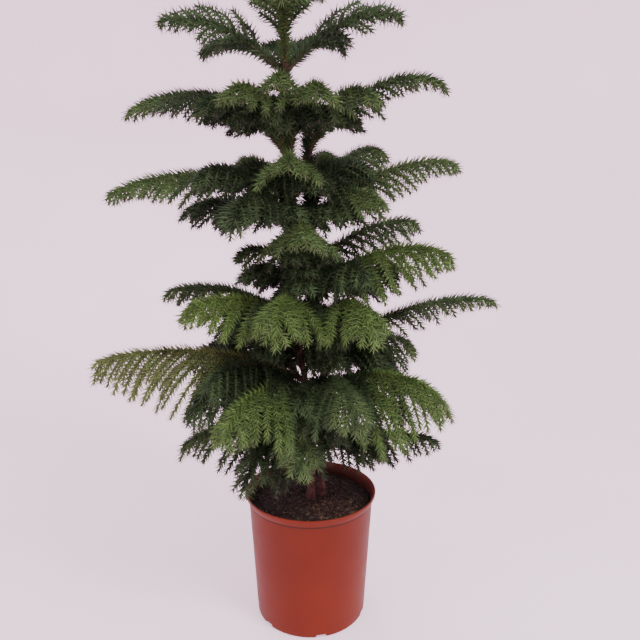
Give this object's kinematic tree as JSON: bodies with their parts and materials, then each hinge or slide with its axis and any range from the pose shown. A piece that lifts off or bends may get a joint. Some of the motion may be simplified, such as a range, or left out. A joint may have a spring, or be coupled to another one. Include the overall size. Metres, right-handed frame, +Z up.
{
  "type": "potted norfolk island pine",
  "caption": "Young evergreen conifer with two slender stems and whorls of flat, arching, drooping fronds, in a round nursery pot.",
  "frame": {"origin": "centre of the pot's flat underside", "axes": "+Z up along the pot's axis, -Y towards the side that the picture shows, +X to its right"},
  "size_m": [0.6349, 0.4341, 1.0118],
  "materials": {
    "pot_plastic": "satin terracotta-coloured moulded plastic",
    "potting_soil": "dark crumbly potting mix with dry litter",
    "bark": "matt reddish-brown young bark",
    "needles": "soft green needles, matt with a faint sheen"
  },
  "bodies": {
    "root": {"bough_fifth_front_right": "bark", "bough_fifth_left": "bark", "bough_fourth_front_right": "bark", "bough_fourth_right": "bark", "bough_second_left": "bark", "bough_third_left": "bark", "bough_third_right": "bark", "frond_fifth_back_left": "needles", "frond_fifth_back_right": "needles", "frond_fifth_front": "needles", "frond_fifth_front_left": "needles", "frond_fifth_front_right": "needles", "frond_fifth_left": "needles", "frond_fifth_low_left": "needles", "frond_fifth_right": "needles", "frond_first_back": "needles", "frond_first_back_left": "needles", "frond_first_back_right": "needles", "frond_first_front": "needles", "frond_first_left": "needles", "frond_first_right": "needles", "frond_fourth_back": "needles", "frond_fourth_back_left": "needles", "frond_fourth_front": "needles", "frond_fourth_front_left": "needles", "frond_fourth_front_mid": "needles", "frond_fourth_front_right": "needles", "frond_fourth_high_front": "needles", "frond_fourth_high_right": "needles", "frond_fourth_left": "needles", "frond_fourth_right": "needles", "frond_second_back": "needles", "frond_second_front": "needles", "frond_second_front_left": "needles", "frond_second_front_right": "needles", "frond_second_left": "needles", "frond_second_mid": "needles", "frond_second_right": "needles", "frond_sixth_back_left": "needles", "frond_sixth_back_right": "needles", "frond_sixth_front": "needles", "frond_sixth_front_left": "needles", "frond_sixth_left": "needles", "frond_sixth_right": "needles", "frond_third_back": "needles", "frond_third_back_left": "needles", "frond_third_back_right": "needles", "frond_third_front": "needles", "frond_third_front_left": "needles", "frond_third_front_right": "needles", "frond_third_left": "needles", "frond_third_low_left": "needles", "frond_third_right": "needles", "frond_top_front": "needles", "frond_top_left": "needles", "frond_top_right": "needles", "pot": "pot_plastic", "soil": "potting_soil", "stem_short": "bark", "stem_tall": "bark"}
  },
  "joints": []
}
